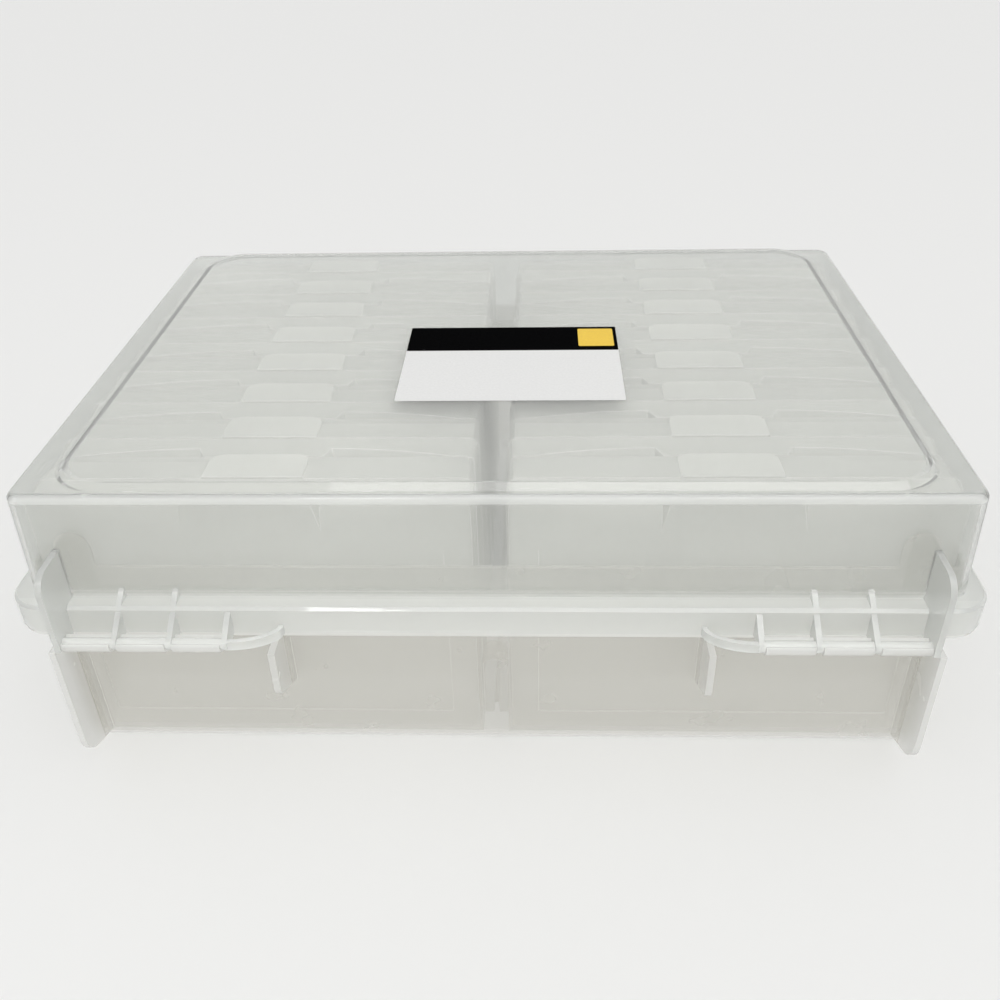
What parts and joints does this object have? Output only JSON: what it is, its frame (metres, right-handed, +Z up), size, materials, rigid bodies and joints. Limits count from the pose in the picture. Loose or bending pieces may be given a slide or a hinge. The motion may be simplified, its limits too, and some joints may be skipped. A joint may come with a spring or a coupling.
{
  "type": "photo keeper case",
  "caption": "Clear snap-lid carry case with feet on its hinge side, two latches and a moulded handle, holding two columns of flat photo cases that stand on edge.",
  "frame": {"origin": "under the middle of the whole case, on the surface it stands on", "axes": "+X along the width, +Y towards the hinge side, -Y towards the handle and latches, +Z up"},
  "size_m": [0.381, 0.3064, 0.1286],
  "materials": {
    "base_milky": "translucent milky polypropylene, softly glossy",
    "lid_clear": "clear glossy polypropylene, slightly hazy",
    "latch_clear": "semi-clear glossy polypropylene",
    "case_frosted": "frosted translucent polypropylene"
  },
  "bodies": {
    "base": {"base_tray": "base_milky", "photo_case_01_tray": "case_frosted", "photo_case_01_cover": "case_frosted", "photo_case_02_tray": "case_frosted", "photo_case_02_cover": "case_frosted", "photo_case_03_tray": "case_frosted", "photo_case_03_cover": "case_frosted", "photo_case_04_tray": "case_frosted", "photo_case_04_cover": "case_frosted", "photo_case_05_tray": "case_frosted", "photo_case_05_cover": "case_frosted", "photo_case_06_tray": "case_frosted", "photo_case_06_cover": "case_frosted", "photo_case_07_tray": "case_frosted", "photo_case_07_cover": "case_frosted", "photo_case_08_tray": "case_frosted", "photo_case_08_cover": "case_frosted", "photo_case_09_tray": "case_frosted", "photo_case_09_cover": "case_frosted", "photo_case_10_tray": "case_frosted", "photo_case_10_cover": "case_frosted", "photo_case_11_tray": "case_frosted", "photo_case_11_cover": "case_frosted", "photo_case_12_tray": "case_frosted", "photo_case_12_cover": "case_frosted", "photo_case_13_tray": "case_frosted", "photo_case_13_cover": "case_frosted", "photo_case_14_tray": "case_frosted", "photo_case_14_cover": "case_frosted", "photo_case_15_tray": "case_frosted", "photo_case_15_cover": "case_frosted", "photo_case_16_tray": "case_frosted", "photo_case_16_cover": "case_frosted"},
    "lid": {"lid": "lid_clear"},
    "latch_left": {"latch_left": "latch_clear"},
    "latch_right": {"latch_right": "latch_clear"}
  },
  "joints": [
    {"name": "lid_hinge", "type": "hinge", "parent": "base", "child": "lid", "pos_m": [0, 0.14946, 0.0706], "axis": [-1, 0, 0], "range_deg": [0, 180]},
    {"name": "latch_left_hinge", "type": "hinge", "parent": "lid", "child": "latch_left", "pos_m": [-0.092, -0.13607, 0.0764], "axis": [-1, 0, 0], "range_deg": [0, 100]},
    {"name": "latch_right_hinge", "type": "hinge", "parent": "lid", "child": "latch_right", "pos_m": [0.092, -0.13607, 0.0764], "axis": [-1, 0, 0], "range_deg": [0, 100]}
  ]
}
